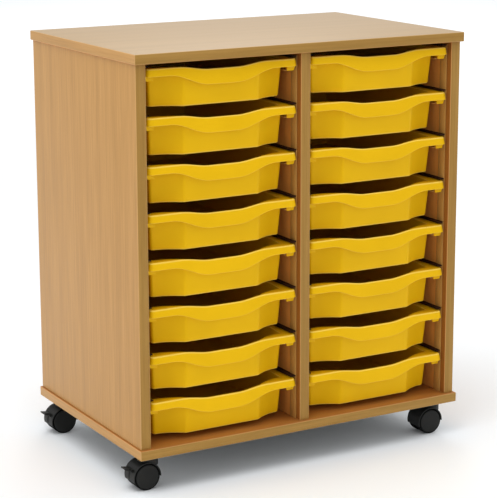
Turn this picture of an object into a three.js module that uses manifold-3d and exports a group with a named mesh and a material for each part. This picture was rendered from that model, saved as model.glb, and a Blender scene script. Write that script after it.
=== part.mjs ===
// A classroom tray storage unit: a wood-effect carcass on castors with two columns of shallow trays.
// Millimetres, +Z up, the front towards -Y, the origin on the floor under the middle of the overall box.
import * as THREE from "three";
import { mergeVertices } from "three/addons/utils/BufferGeometryUtils.js";
import { ParametricGeometry } from "three/addons/geometries/ParametricGeometry.js";
import Module from "manifold-3d";

const wasm = await Module();
wasm.setup();

// Carcass boards: the top and the base overhang the uprights
const UNIT_WIDTH = 690;
const BOARD_DEPTH = 450;
const BOARD_THICKNESS = 18;
const UPRIGHT_THICKNESS = 20;
const BACK_THICKNESS = 8;
const SIDE_OVERHANG = 4;
const FRONT_OVERHANG = 7;
const BACK_OVERHANG = 3;

// Tray places
const TRAY_ROWS = 8;
const TRAY_STACK_GAP = 14.5;
const TRAY_TOP_GAP = 10;
const TRAY_FLOOR_GAP = 10.5;
const TRAY_SIDE_GAP = 9.5;
const TRAY_SETBACK = 13;
const TRAY_BACK_GAP = 20;

// Tray shape: a rim with a flared band round it, waved at the front, a skirt behind the band along the sides
// and the back with a tab at each front end, and a wall with a flat front panel and two ends curved back
const TRAY_HEIGHT = 71;
const RIM_THICKNESS = 2.5;
const RIM_FLANGE = 10;
const RIM_CORNER = 7;
const RIM_BACK_CORNER = 16;
const RIM_FRONT_FALL = 2;
const RIM_FALL_LENGTH = 30;
const BAND_FLARE = 2.5;
const BAND_END_HEIGHT = 14;
const BAND_MIDDLE_HEIGHT = 27.5;
const WAVE_DIP = 6.5;
const WAVE_FLAT = 28;
const WAVE_REACH = 87;
const BAND_WAVE_REACH = 107;
const SKIRT_HEIGHT = 22.5;
const SKIRT_START = 1;
const SKIRT_INSET = 0.6;
const SKIRT_THICKNESS = 2.2;
const WALL_THICKNESS = 2.2;
const FLOOR_THICKNESS = 2.5;
const WALL_DRAFT = 5;
const WALL_SETBACK = 6.4;
const WALL_CORNER = 5;
const FRONT_PANEL_WIDTH = 142;
const FRONT_FACET_DEPTH = 21;
const FRONT_FACET_POWER = 1.5;

// Runner pairs: two channels on an upright's face, joined by a rail at the front and a strap further back
const RUNNERS_IN_PAIR = 2;
const RUNNER_PLATE = 1.5;
const LIP_REACH = 12.5;
const LEDGE_REACH = 16;
const RUNNER_LEG_THICKNESS = 2;
const LIP_CLEARANCE = 1.8;
const LEDGE_CLEARANCE = 0.4;
const RUNNER_SETBACK = 14;
const RUNNER_BACK_GAP = 17;
const RAIL_WIDTH = 20;
const RAIL_END_GAP = 0.5;
const STRAP_WIDTH = 30;
const STRAP_PLACE = 5 / 6;

// Castors: twin wheels under a hood, trailing behind a swivel pin
const WHEEL_DIAMETER = 50;
const WHEEL_WIDTH = 16;
const WHEEL_CHAMFER = 1.4;
const WHEEL_CAP = 3;
const WHEEL_GAP = 0.5;
const HOOD_GAP = 0.8;
const HOOD_THICKNESS = 1.8;
const HOOD_LEAD_DROP_DEG = 3;
const HOOD_TRAIL_DROP_DEG = 16;
const WEB_THICKNESS = 7;
const WEB_HUB_RADIUS = 9;
const NECK_RADIUS = 19;
const NECK_HEIGHT = 10.1;
const NECK_SKIRT = 9;
const PLATE_SIZE = 42;
const PLATE_THICKNESS = 3;
const PIN_RADIUS = 5;
const PIN_LENGTH = 9;
const AXLE_RADIUS = 3;
const TURN_CLEARANCE = 0.3;
const CASTOR_TRAIL = 10;
const CASTOR_SIDE_INSET = 34;
const CASTOR_END_INSET = 43;

// Brake lever: a pedal on a small barrel between two lugs of the hood
const BRAKE_ANGLE_DEG = 152;
const BRAKE_BARREL_RADIUS = 2.6;
const BRAKE_STUB_RADIUS = 1.4;
const BRAKE_WIDTH = 15;
const BRAKE_TAB_LENGTH = 11;
const BRAKE_TAB_THICKNESS = 2.4;
const BRAKE_TAB_RISE_DEG = 12;
const LUG_WIDTH = 2.6;

// Flat sides that stand in for the round ones
const WHEEL_SIDES = 28;
const NECK_SIDES = 28;
const HOOD_ARC_STEPS = 12;
const PIN_SIDES = 16;
const BARREL_SIDES = 12;
const STUB_SIDES = 10;

// Places that follow from the sizes
const trayPitch = TRAY_HEIGHT + TRAY_STACK_GAP;
const wheelRadius = WHEEL_DIAMETER / 2;
const hoodInner = wheelRadius + HOOD_GAP;
const hoodOuter = hoodInner + HOOD_THICKNESS;
const hoodWidth = WEB_THICKNESS + 2 * (WHEEL_GAP + WHEEL_WIDTH);
const neckTop = wheelRadius + hoodOuter + NECK_HEIGHT;
const castorHeight = neckTop + TURN_CLEARANCE + PLATE_THICKNESS;
const baseTop = castorHeight + BOARD_THICKNESS;
const traySpan = TRAY_ROWS * TRAY_HEIGHT + (TRAY_ROWS - 1) * TRAY_STACK_GAP;
const topUnderside = baseTop + TRAY_FLOOR_GAP + traySpan + TRAY_TOP_GAP;
const boardBack = BOARD_DEPTH / 2;
const boardFront = -boardBack;
const uprightFront = boardFront + FRONT_OVERHANG;
const uprightBack = boardBack - BACK_OVERHANG;
const backPanelFront = uprightBack - BACK_THICKNESS;
const runnerStart = uprightFront + RUNNER_SETBACK;
const runnerEnd = backPanelFront - RUNNER_BACK_GAP;
const sideOuter = UNIT_WIDTH / 2 - SIDE_OVERHANG;
const sideInner = sideOuter - UPRIGHT_THICKNESS;
const bayWidth = sideInner - UPRIGHT_THICKNESS / 2;
const bayCentre = (sideInner + UPRIGHT_THICKNESS / 2) / 2;
const rimFront = boardFront + TRAY_SETBACK;
const rimBackLocal = backPanelFront - TRAY_BACK_GAP - rimFront;
const rimHalf = bayWidth / 2 - TRAY_SIDE_GAP;
const wallTopHalf = rimHalf - RIM_FLANGE;

// Materials, one for each kind of piece
const finishes = {
  board: { color: 0xc8a06a, roughness: 0.55, metalness: 0 },
  tray: { color: 0xe3b418, roughness: 0.4, metalness: 0 },
  runner: { color: 0x4d3624, roughness: 0.6, metalness: 0 },
  castor: { color: 0x22231f, roughness: 0.5, metalness: 0 },
  steel: { color: 0x8f9294, roughness: 0.35, metalness: 1 },
};

const unit = new THREE.Group();

function addPiece(parent, name, geometry, finish) {
  const mesh = new THREE.Mesh(geometry, new THREE.MeshStandardMaterial(finishes[finish]));
  mesh.name = name;
  parent.add(mesh);
  return mesh;
}

// Keeps only shared points and drops the triangles that have no area at a pole or a seam.
function weld(geometry) {
  const bare = geometry.clone();
  bare.deleteAttribute("normal");
  bare.deleteAttribute("uv");
  const merged = mergeVertices(bare, 1e-4);
  const source = merged.index.array;
  const kept = [];
  for (let i = 0; i < source.length; i += 3) {
    const [a, b, c] = source.subarray(i, i + 3);
    if (a !== b && b !== c && c !== a) {
      kept.push(a, b, c);
    }
  }
  merged.setIndex(kept);
  return merged;
}

function toSolid(geometry) {
  const welded = weld(geometry);
  return new wasm.Manifold(
    new wasm.Mesh({
      numProp: 3,
      vertProperties: new Float32Array(welded.attributes.position.array),
      triVerts: new Uint32Array(welded.index.array),
    }),
  );
}

function toGeometry(solid) {
  const mesh = solid.getMesh();
  const geometry = new THREE.BufferGeometry();
  geometry.setAttribute("position", new THREE.BufferAttribute(mesh.vertProperties, 3));
  geometry.setIndex(new THREE.BufferAttribute(mesh.triVerts, 1));
  return geometry;
}

function box(x0, x1, y0, y1, z0, z1) {
  const geometry = new THREE.BoxGeometry(x1 - x0, y1 - y0, z1 - z0);
  return geometry.translate((x0 + x1) / 2, (y0 + y1) / 2, (z0 + z1) / 2);
}

// A cylinder along Z between two heights.
function upright(radius, z0, z1, sides) {
  const geometry = new THREE.CylinderGeometry(radius, radius, z1 - z0, sides);
  return geometry.rotateX(Math.PI / 2).translate(0, 0, (z0 + z1) / 2);
}

// A cylinder along Y, centred on Y = 0 at the given X and Z.
function crosswise(radius, length, sides, x, z) {
  return new THREE.CylinderGeometry(radius, radius, length, sides).translate(x, 0, z);
}

// A shape drawn in X and Z, extruded along Y between two places.
function extrudeAlongY(shape, y0, y1, curveSegments = 1) {
  const options = { depth: y1 - y0, bevelEnabled: false, curveSegments };
  return new THREE.ExtrudeGeometry(shape, options).rotateX(Math.PI / 2).translate(0, y1, 0);
}

// Carcass
function addBoard(name, x0, x1, y0, y1, z0, z1) {
  addPiece(unit, name, box(x0, x1, y0, y1, z0, z1), "board");
}

function addCarcass() {
  const half = UNIT_WIDTH / 2;
  const dividerHalf = UPRIGHT_THICKNESS / 2;
  const unitTop = topUnderside + BOARD_THICKNESS;
  addBoard("base_panel", -half, half, boardFront, boardBack, castorHeight, baseTop);
  addBoard("top_panel", -half, half, boardFront, boardBack, topUnderside, unitTop);
  addBoard("left_side_panel", -sideOuter, -sideInner, uprightFront, uprightBack, baseTop, topUnderside);
  addBoard("right_side_panel", sideInner, sideOuter, uprightFront, uprightBack, baseTop, topUnderside);
  addBoard("centre_divider", -dividerHalf, dividerHalf, uprightFront, backPanelFront, baseTop, topUnderside);
  addBoard("back_panel", -sideInner, sideInner, backPanelFront, uprightBack, baseTop, topUnderside);
}

// Trays: outlines in plan run from the middle of the front round the right side and back again
const PANEL_STEPS = 5;
const FACET_STEPS = 5;
const CORNER_STEPS = 3;

function mirrorOutline(rightHalf) {
  const leftHalf = rightHalf.slice(1, -1).reverse();
  return [...rightHalf, ...leftHalf.map((p) => ({ ...p, x: -p.x }))];
}

// How far the points along a side lie behind its front corner: across the tab, back to the skirt's own
// thickness, and to the place where the rim is level again.
const tabStart = { step: SKIRT_START, slope: RIM_FRONT_FALL, tab: true };
const tabEnd = { ...tabStart, step: SKIRT_START + SKIRT_THICKNESS };
const skirtAlone = { step: SKIRT_START + 2 * SKIRT_THICKNESS, slope: RIM_FRONT_FALL, tab: false };
const levelAgain = { step: RIM_FALL_LENGTH, slope: 0, tab: false };
const sideSteps = [tabStart, tabEnd, skirtAlone, levelAgain];

// Points across the right half of the front: even steps over the flat panel, then over the curved end.
function frontSteps(endX) {
  const panelHalf = FRONT_PANEL_WIDTH / 2;
  const xs = [];
  for (let i = 0; i <= PANEL_STEPS; i++) {
    xs.push((panelHalf * i) / PANEL_STEPS);
  }
  for (let i = 1; i <= FACET_STEPS; i++) {
    xs.push(panelHalf + ((endX - panelHalf) * i) / FACET_STEPS);
  }
  return xs;
}

// A quarter turn about a centre, from the given angle, without its first point.
function cornerPoints(centreX, centreY, radius, startDeg) {
  const points = [];
  for (let i = 1; i <= CORNER_STEPS; i++) {
    const angle = THREE.MathUtils.degToRad(startDeg + (90 * i) / CORNER_STEPS);
    points.push({ x: centreX + radius * Math.cos(angle), y: centreY + radius * Math.sin(angle) });
  }
  return points;
}

// One in the flat middle, nought beyond the reach, and half a cosine wave between.
function hump(x, flat, reach) {
  const part = THREE.MathUtils.clamp((reach - Math.abs(x)) / (reach - flat), 0, 1);
  return 0.5 - 0.5 * Math.cos(Math.PI * part);
}

// The rim's outline, drawn in by an inset. Each point carries the dip of the rim's edge, the slope from that
// edge down to the wall, and how far the band and the skirt hang down. Across the front there is no skirt.
function rimOutline(inset) {
  const cornerX = rimHalf - RIM_CORNER;
  const bandGrowth = WAVE_DIP + BAND_MIDDLE_HEIGHT - BAND_END_HEIGHT;
  const front = frontSteps(cornerX).map((x) => {
    const dip = WAVE_DIP * hump(x, WAVE_FLAT, WAVE_REACH);
    const band = BAND_END_HEIGHT + bandGrowth * hump(x, WAVE_FLAT, BAND_WAVE_REACH);
    return { x, y: inset, dip, band };
  });
  const corner = cornerPoints(cornerX, RIM_CORNER, RIM_CORNER - inset, -90);
  const level = { dip: 0, band: BAND_END_HEIGHT };
  const bandOnly = [...front, ...corner.map((p) => ({ ...p, ...level }))];
  const sideX = rimHalf - inset;
  const backX = rimHalf - RIM_BACK_CORNER;
  const backY = rimBackLocal - RIM_BACK_CORNER;
  const side = sideSteps.map((s) => ({ x: sideX, y: RIM_CORNER + s.step, slope: s.slope, tab: s.tab }));
  const backCorner = cornerPoints(backX, backY, RIM_BACK_CORNER - inset, 0);
  const back = [{ x: sideX, y: backY }, ...backCorner, { x: 0, y: rimBackLocal - inset }];
  const round = [...side, ...back.map((p) => ({ ...p, slope: 0, tab: false }))];
  return mirrorOutline([
    ...bandOnly.map((p) => ({ ...p, slope: RIM_FRONT_FALL, skirt: p.band, skirted: false })),
    ...round.map((p) => ({ ...p, ...level, skirt: SKIRT_HEIGHT, skirted: true })),
  ]);
}

// The skirt's inner outline: at the tabs it reaches in as far as the wall.
function skirtInnerOutline() {
  const outline = rimOutline(SKIRT_INSET + SKIRT_THICKNESS);
  return outline.map((p) => (p.tab ? { ...p, x: Math.sign(p.x) * wallTopHalf } : p));
}

// The wall's outline, drawn in by an inset: the same count of points as the rim's outline.
function wallOutline(inset) {
  const panelHalf = FRONT_PANEL_WIDTH / 2;
  const half = wallTopHalf - inset;
  const frontY = WALL_SETBACK + inset;
  const cornerX = half - WALL_CORNER;
  const cornerY = frontY + FRONT_FACET_DEPTH + WALL_CORNER;
  const front = frontSteps(cornerX).map((x) => {
    const left = Math.min(1, (cornerX - x) / (cornerX - panelHalf));
    return { x, y: frontY + FRONT_FACET_DEPTH * (1 - left ** FRONT_FACET_POWER) };
  });
  const corner = cornerPoints(cornerX, cornerY, WALL_CORNER, -90);
  const backY = rimBackLocal - RIM_FLANGE - inset;
  const side = sideSteps.map((s) => ({ x: half, y: cornerY + s.step }));
  const sideEnd = { x: half, y: backY - WALL_CORNER };
  const backCorner = cornerPoints(cornerX, backY - WALL_CORNER, WALL_CORNER, 0);
  return mirrorOutline([...front, ...corner, ...side, sideEnd, ...backCorner, { x: 0, y: backY }]);
}

// The tray as one closed surface: round the tray in one direction and, in the other, from the middle of the
// underside up the outside, under the rim, round its skirt and its band, over the rim and down to the floor.
function trayGeometry() {
  const rimTop = rimOutline(0);
  const rimUnder = rimOutline(RIM_THICKNESS);
  const bandOuter = rimOutline(-BAND_FLARE);
  const bandInner = rimOutline(RIM_THICKNESS - BAND_FLARE);
  const skirtOuter = rimOutline(SKIRT_INSET);
  const skirtInner = skirtInnerOutline();
  const wallTopOuter = wallOutline(0);
  const wallTopInner = wallOutline(WALL_THICKNESS);
  const wallFootOuter = wallOutline(WALL_DRAFT);
  const wallFootInner = wallOutline(WALL_DRAFT + WALL_THICKNESS);
  const middleY = rimBackLocal / 2;
  const floorTop = FLOOR_THICKNESS - TRAY_HEIGHT;
  const edge = (p) => -p.dip;
  const wallTop = (p) => -p.dip - p.slope;
  const pole = (z) => rimTop.map(() => new THREE.Vector3(0, middleY, z));
  const ring = (outline, height) => outline.map((p, i) => new THREE.Vector3(p.x, p.y, height(rimTop[i])));
  const hang = (front, side) => front.map((p, i) => (p.skirted ? side[i] : p));
  const rows = [
    pole(-TRAY_HEIGHT),
    ring(wallFootOuter, () => -TRAY_HEIGHT),
    ring(wallTopOuter, (p) => wallTop(p) - RIM_THICKNESS),
    ring(hang(rimUnder, skirtInner), (p) => edge(p) - RIM_THICKNESS),
    ring(hang(bandInner, skirtInner), (p) => -p.skirt),
    ring(hang(bandInner, skirtOuter), (p) => -p.skirt),
    ring(hang(bandInner, skirtOuter), (p) => -p.band),
    ring(bandOuter, (p) => -p.band),
    ring(rimTop, edge),
    ring(wallTopInner, wallTop),
    ring(wallFootInner, () => floorTop),
    pole(floorTop),
  ];
  const around = rimTop.length;
  const along = rows.length - 1;
  const surface = (u, v, target) => {
    const row = rows[Math.round(v * along)];
    target.copy(row[Math.round(u * around) % around]);
  };
  return weld(new ParametricGeometry(surface, around, along));
}

function addTrays() {
  const geometry = trayGeometry();
  for (const [side, sign] of [["left", -1], ["right", 1]]) {
    for (let row = 0; row < TRAY_ROWS; row++) {
      const tray = addPiece(unit, `tray_${side}_${row + 1}`, geometry, "tray");
      tray.position.set(sign * bayCentre, rimFront, topUnderside - TRAY_TOP_GAP - row * trayPitch);
    }
  }
}

// Runner pairs: each channel opens towards the bay, and the tray's skirt rests on its ledge
function runnerPairGeometry() {
  const lipTop = LIP_CLEARANCE + RUNNER_LEG_THICKNESS;
  const ledgeTop = -SKIRT_HEIGHT - LEDGE_CLEARANCE;
  const ledgeFoot = ledgeTop - RUNNER_LEG_THICKNESS;
  const section = new THREE.Shape([
    new THREE.Vector2(0, ledgeFoot),
    new THREE.Vector2(LEDGE_REACH, ledgeFoot),
    new THREE.Vector2(LEDGE_REACH, ledgeTop),
    new THREE.Vector2(RUNNER_PLATE, ledgeTop),
    new THREE.Vector2(RUNNER_PLATE, LIP_CLEARANCE),
    new THREE.Vector2(LIP_REACH, LIP_CLEARANCE),
    new THREE.Vector2(LIP_REACH, lipTop),
    new THREE.Vector2(0, lipTop),
  ]);
  const channel = toSolid(extrudeAlongY(section, runnerStart, runnerEnd));
  let pair = channel;
  for (let row = 1; row < RUNNERS_IN_PAIR; row++) {
    pair = pair.add(channel.translate([0, 0, -row * trayPitch]));
  }
  const railFoot = lipTop + RAIL_END_GAP - RUNNERS_IN_PAIR * trayPitch;
  const rail = box(0, RUNNER_PLATE, runnerStart, runnerStart + RAIL_WIDTH, railFoot, lipTop);
  const strapFoot = ledgeFoot - (RUNNERS_IN_PAIR - 1) * trayPitch;
  const strapStart = runnerStart + (runnerEnd - runnerStart) * STRAP_PLACE;
  const strap = box(0, RUNNER_PLATE, strapStart, strapStart + STRAP_WIDTH, strapFoot, lipTop);
  return toGeometry(pair.add(toSolid(rail)).add(toSolid(strap)));
}

function addRunnerPairs() {
  const geometry = runnerPairGeometry();
  const turned = geometry.clone().rotateZ(Math.PI).translate(0, runnerStart + runnerEnd, 0);
  const dividerHalf = UPRIGHT_THICKNESS / 2;
  const places = [
    ["left_bay_left", -sideInner, geometry],
    ["left_bay_right", -dividerHalf, turned],
    ["right_bay_left", dividerHalf, geometry],
    ["right_bay_right", sideInner, turned],
  ];
  for (const [name, x, shape] of places) {
    for (let row = 0; row < TRAY_ROWS; row += RUNNERS_IN_PAIR) {
      const pair = addPiece(unit, `${name}_runner_pair_${row / RUNNERS_IN_PAIR + 1}`, shape, "runner");
      pair.position.set(x, 0, topUnderside - TRAY_TOP_GAP - row * trayPitch);
    }
  }
}

// Castors, each in its own group with the floor at Z = 0 and the swivel pin on the group's Z axis
function plateGeometry() {
  const half = PLATE_SIZE / 2;
  const plate = box(-half, half, -half, half, castorHeight - PLATE_THICKNESS, castorHeight);
  const pinTop = castorHeight - PLATE_THICKNESS / 2;
  const pin = upright(PIN_RADIUS, neckTop - PIN_LENGTH, pinTop, PIN_SIDES);
  return toGeometry(toSolid(plate).add(toSolid(pin)));
}

// A pie slice of a ring about the axle, covering the top of the wheels.
function hoodSector(inner, outer, y0, y1) {
  const start = THREE.MathUtils.degToRad(-HOOD_LEAD_DROP_DEG);
  const end = THREE.MathUtils.degToRad(180 + HOOD_TRAIL_DROP_DEG);
  const shape = new THREE.Shape();
  shape.absarc(0, 0, outer, start, end, false);
  shape.absarc(0, 0, inner, end, start, true);
  return extrudeAlongY(shape, y0, y1, HOOD_ARC_STEPS).translate(-CASTOR_TRAIL, 0, wheelRadius);
}

function brakePivot() {
  const angle = THREE.MathUtils.degToRad(BRAKE_ANGLE_DEG);
  const reach = hoodOuter + BRAKE_BARREL_RADIUS + 2 * TURN_CLEARANCE;
  return {
    x: reach * Math.cos(angle) - CASTOR_TRAIL,
    z: reach * Math.sin(angle) + wheelRadius,
  };
}

function lugSolid(y0) {
  const pivot = brakePivot();
  const angle = THREE.MathUtils.degToRad(BRAKE_ANGLE_DEG);
  const round = crosswise(BRAKE_BARREL_RADIUS, LUG_WIDTH, BARREL_SIDES, pivot.x, pivot.z);
  const reach = hoodOuter + BRAKE_BARREL_RADIUS - hoodInner;
  const arm = new THREE.BoxGeometry(reach, LUG_WIDTH, 2 * BRAKE_BARREL_RADIUS);
  const armMiddle = hoodInner + HOOD_THICKNESS / 2 + reach / 2;
  arm.translate(armMiddle, 0, 0).rotateY(-angle).translate(-CASTOR_TRAIL, 0, wheelRadius);
  const y = y0 + LUG_WIDTH / 2;
  return toSolid(round.translate(0, y, 0)).add(toSolid(arm.translate(0, y, 0)));
}

function hoodGeometry(braked) {
  const halfWidth = hoodWidth / 2;
  const halfWeb = WEB_THICKNESS / 2;
  const overlap = HOOD_THICKNESS / 2;
  const shell = toSolid(hoodSector(hoodInner, hoodOuter, -halfWidth, halfWidth));
  const web = toSolid(hoodSector(WEB_HUB_RADIUS - overlap, hoodInner + overlap, -halfWeb, halfWeb));
  const hub = toSolid(crosswise(WEB_HUB_RADIUS, WEB_THICKNESS, PIN_SIDES, -CASTOR_TRAIL, wheelRadius));
  const neckFoot = wheelRadius + hoodOuter - NECK_SKIRT;
  const neck = toSolid(upright(NECK_RADIUS, neckFoot, neckTop, NECK_SIDES));
  const insideShell = hoodInner + overlap;
  const spaceWidth = 2 * NECK_RADIUS + hoodWidth;
  const wheelSpace = toSolid(crosswise(insideShell, spaceWidth, NECK_SIDES, -CASTOR_TRAIL, wheelRadius));
  const boreFoot = neckTop - PIN_LENGTH - TURN_CLEARANCE;
  const pinBore = toSolid(upright(PIN_RADIUS + TURN_CLEARANCE, boreFoot, castorHeight, PIN_SIDES));
  const axleBoreRadius = AXLE_RADIUS + TURN_CLEARANCE;
  const axleBore = toSolid(crosswise(axleBoreRadius, hoodWidth, PIN_SIDES, -CASTOR_TRAIL, wheelRadius));
  let hood = neck.subtract(wheelSpace).add(shell).add(web).add(hub);
  hood = hood.subtract(pinBore).subtract(axleBore);
  if (braked) {
    const pivot = brakePivot();
    const lugStart = BRAKE_WIDTH / 2 + TURN_CLEARANCE;
    const stubRadius = BRAKE_STUB_RADIUS + TURN_CLEARANCE;
    const stubBore = toSolid(crosswise(stubRadius, hoodWidth, STUB_SIDES, pivot.x, pivot.z));
    hood = hood.add(lugSolid(lugStart).subtract(stubBore));
    hood = hood.add(lugSolid(-lugStart - LUG_WIDTH).subtract(stubBore));
  }
  return toGeometry(hood);
}

// A wheel with a closed outer face towards +Y and a blind bore for the axle.
function wheelGeometry() {
  const bore = AXLE_RADIUS + TURN_CLEARANCE;
  const rim = wheelRadius - WHEEL_CHAMFER;
  const profile = [
    new THREE.Vector2(0, WHEEL_WIDTH - WHEEL_CAP),
    new THREE.Vector2(bore, WHEEL_WIDTH - WHEEL_CAP),
    new THREE.Vector2(bore, 0),
    new THREE.Vector2(rim, 0),
    new THREE.Vector2(wheelRadius, WHEEL_CHAMFER),
    new THREE.Vector2(wheelRadius, WHEEL_WIDTH - WHEEL_CHAMFER),
    new THREE.Vector2(rim, WHEEL_WIDTH),
    new THREE.Vector2(0, WHEEL_WIDTH),
  ];
  return weld(new THREE.LatheGeometry(profile, WHEEL_SIDES));
}

function axleGeometry() {
  const reach = WEB_THICKNESS / 2 + WHEEL_GAP + WHEEL_WIDTH - WHEEL_CAP - TURN_CLEARANCE;
  return crosswise(AXLE_RADIUS, 2 * reach, PIN_SIDES, -CASTOR_TRAIL, wheelRadius);
}

function brakeGeometry() {
  const pivot = brakePivot();
  const barrel = toSolid(crosswise(BRAKE_BARREL_RADIUS, BRAKE_WIDTH, BARREL_SIDES, 0, 0));
  const stubs = toSolid(crosswise(BRAKE_STUB_RADIUS, BRAKE_WIDTH + 2 * LUG_WIDTH, STUB_SIDES, 0, 0));
  const tab = new THREE.BoxGeometry(BRAKE_TAB_LENGTH, BRAKE_WIDTH, BRAKE_TAB_THICKNESS);
  tab.translate(-BRAKE_TAB_LENGTH / 2, 0, 0).rotateY(THREE.MathUtils.degToRad(BRAKE_TAB_RISE_DEG));
  const lever = barrel.add(stubs).add(toSolid(tab));
  return toGeometry(lever).translate(pivot.x, 0, pivot.z);
}

function addCastors() {
  const plate = plateGeometry();
  const plainHood = hoodGeometry(false);
  const brakedHood = hoodGeometry(true);
  const axle = axleGeometry();
  const wheel = wheelGeometry();
  const brake = brakeGeometry();
  const wheelStart = WEB_THICKNESS / 2 + WHEEL_GAP;
  const ends = [
    ["front", boardFront + CASTOR_END_INSET],
    ["back", boardBack - CASTOR_END_INSET],
  ];
  for (const [sideName, side] of [["left", -1], ["right", 1]]) {
    for (const [endName, y] of ends) {
      const name = `castor_${endName}_${sideName}`;
      const braked = sideName === "left";
      const castor = new THREE.Group();
      castor.position.set(side * (UNIT_WIDTH / 2 - CASTOR_SIDE_INSET), y, 0);
      unit.add(castor);
      addPiece(castor, `${name}_plate`, plate, "castor");
      addPiece(castor, `${name}_hood`, braked ? brakedHood : plainHood, "castor");
      addPiece(castor, `${name}_axle`, axle, "steel");
      const backWheel = addPiece(castor, `${name}_back_wheel`, wheel, "castor");
      backWheel.position.set(-CASTOR_TRAIL, wheelStart, wheelRadius);
      const frontWheel = addPiece(castor, `${name}_front_wheel`, wheel, "castor");
      frontWheel.position.set(-CASTOR_TRAIL, -wheelStart, wheelRadius);
      frontWheel.rotation.z = Math.PI;
      if (braked) {
        addPiece(castor, `${name}_brake`, brake, "castor");
      }
    }
  }
}

// The origin lies on the floor under the middle of the overall box, with the brake levers in that box.
function centreOnFloor() {
  const overall = new THREE.Box3().setFromObject(unit, true);
  const middle = overall.getCenter(new THREE.Vector3());
  unit.position.set(-middle.x, -middle.y, -overall.min.z);
}

addCarcass();
addTrays();
addRunnerPairs();
addCastors();
centreOnFloor();

export default unit;
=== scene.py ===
# %% [markdown]
# # A classroom tray storage unit
# This lesson dresses a low storage unit: a wood-effect carcass on castors, with two columns of moulded yellow trays.
# The packed solids are loaded first. They give every piece its place, so each surface below is worked out in metres in
# the same frame and then rides on the body that carries it.

# %% The frame
import math

import bmesh
import bpy
import numpy as np
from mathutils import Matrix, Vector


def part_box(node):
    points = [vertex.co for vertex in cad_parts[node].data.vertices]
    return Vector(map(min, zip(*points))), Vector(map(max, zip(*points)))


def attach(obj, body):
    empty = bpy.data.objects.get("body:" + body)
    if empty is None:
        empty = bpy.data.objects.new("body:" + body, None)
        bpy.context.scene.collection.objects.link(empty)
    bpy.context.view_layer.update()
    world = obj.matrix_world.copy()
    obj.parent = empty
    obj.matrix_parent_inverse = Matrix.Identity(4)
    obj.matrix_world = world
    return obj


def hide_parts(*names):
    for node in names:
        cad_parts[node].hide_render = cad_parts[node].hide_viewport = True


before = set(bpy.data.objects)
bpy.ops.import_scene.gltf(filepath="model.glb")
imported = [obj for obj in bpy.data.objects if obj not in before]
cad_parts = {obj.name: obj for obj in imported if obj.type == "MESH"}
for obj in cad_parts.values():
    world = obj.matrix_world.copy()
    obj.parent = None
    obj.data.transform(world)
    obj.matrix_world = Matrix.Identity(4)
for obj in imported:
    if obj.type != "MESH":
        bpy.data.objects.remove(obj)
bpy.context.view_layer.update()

MM = 0.001

# %% [markdown]
# ## Camera
# The camera was solved from the edges of the boards and the trays. Its place could be found by eye, but many measured
# edges fix it to about two pixels. A small downward shift keeps the uprights closer to parallel.

# %% Camera
IMAGE_WIDTH = 497
FOCAL_PIXELS = 1784.77
CAMERA_PLACE = (-1.66587, -2.93258, 1.15894)
CAMERA_TURN_DEG = (77.6224, 0.1486, -29.8082)
CAMERA_SHIFT = -0.05

camera_data = bpy.data.cameras.new("studio_camera")
camera_data.sensor_fit = "HORIZONTAL"
camera_data.lens = FOCAL_PIXELS * camera_data.sensor_width / IMAGE_WIDTH
camera_data.shift_y = CAMERA_SHIFT
camera = bpy.data.objects.new("studio_camera", camera_data)
camera.location = CAMERA_PLACE
camera.rotation_euler = [math.radians(angle) for angle in CAMERA_TURN_DEG]
bpy.context.scene.collection.objects.link(camera)
bpy.context.scene.camera = camera
print("lens", round(camera_data.lens, 2), "mm")

# %% [markdown]
# ## Floor and light
# The unit stands on a white studio floor. One small lamp would give hard shadows and black gaps, so an even white sky
# does most of the work, and five large soft lamps shape it. The high one makes the floor and the top brighter than the
# fronts. The left one lights the left side, a faint one in front lights the trays, the right one lights the floor
# beside the unit, and the last one lights only the floor far behind.

# %% Floor and light
FLOOR_HALF = 14.0
FLOOR_WHITE, FLOOR_ROUGHNESS, FLOOR_GLOSS = (0.935, 0.96, 0.98, 1), 0.9, 0.1
SKY_WHITE, SKY_STRENGTH = (1.0, 1.0, 1.0, 1), 0.72
LAMPS = [  # name, place, aim, width in metres, power in watts
    ("high_lamp", (-1.2, -0.6, 3.4), (-0.2, -0.2, 0), 2.4, 50),
    ("left_lamp", (-4.0, 0.2, 1.3), (-0.35, 0, 0.45), 2.0, 14),
    ("front_lamp", (-1.5, -4.5, 1.9), (0, 0, 0.4), 1.6, 5),
    ("right_lamp", (2.6, -0.5, 2.2), (1.1, 0.0, 0), 1.8, 16),
    ("background_lamp", (3.4, 5.8, 5.0), (3.4, 5.8, 0), 3.0, 145),
]

floor_mesh = bpy.data.meshes.new("studio_floor")
floor_corners = FLOOR_HALF * np.array([[-1, -1, 0], [1, -1, 0], [1, 1, 0], [-1, 1, 0]])
floor_mesh.from_pydata(floor_corners.tolist(), [], [[0, 1, 2, 3]])
floor = bpy.data.objects.new("studio_floor", floor_mesh)
bpy.context.scene.collection.objects.link(floor)
floor_paint = bpy.data.materials.new("floor_paint")
floor_paint.use_nodes = True
floor_shader = floor_paint.node_tree.nodes["Principled BSDF"]
floor_shader.inputs["Base Color"].default_value = FLOOR_WHITE
floor_shader.inputs["Roughness"].default_value = FLOOR_ROUGHNESS
floor_shader.inputs["Specular IOR Level"].default_value = FLOOR_GLOSS
floor_mesh.materials.append(floor_paint)

sky = bpy.data.worlds.new("studio_sky")
sky.use_nodes = True
sky.node_tree.nodes["Background"].inputs["Color"].default_value = SKY_WHITE
sky.node_tree.nodes["Background"].inputs["Strength"].default_value = SKY_STRENGTH
bpy.context.scene.world = sky
bpy.context.scene.view_settings.view_transform = "Standard"


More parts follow.
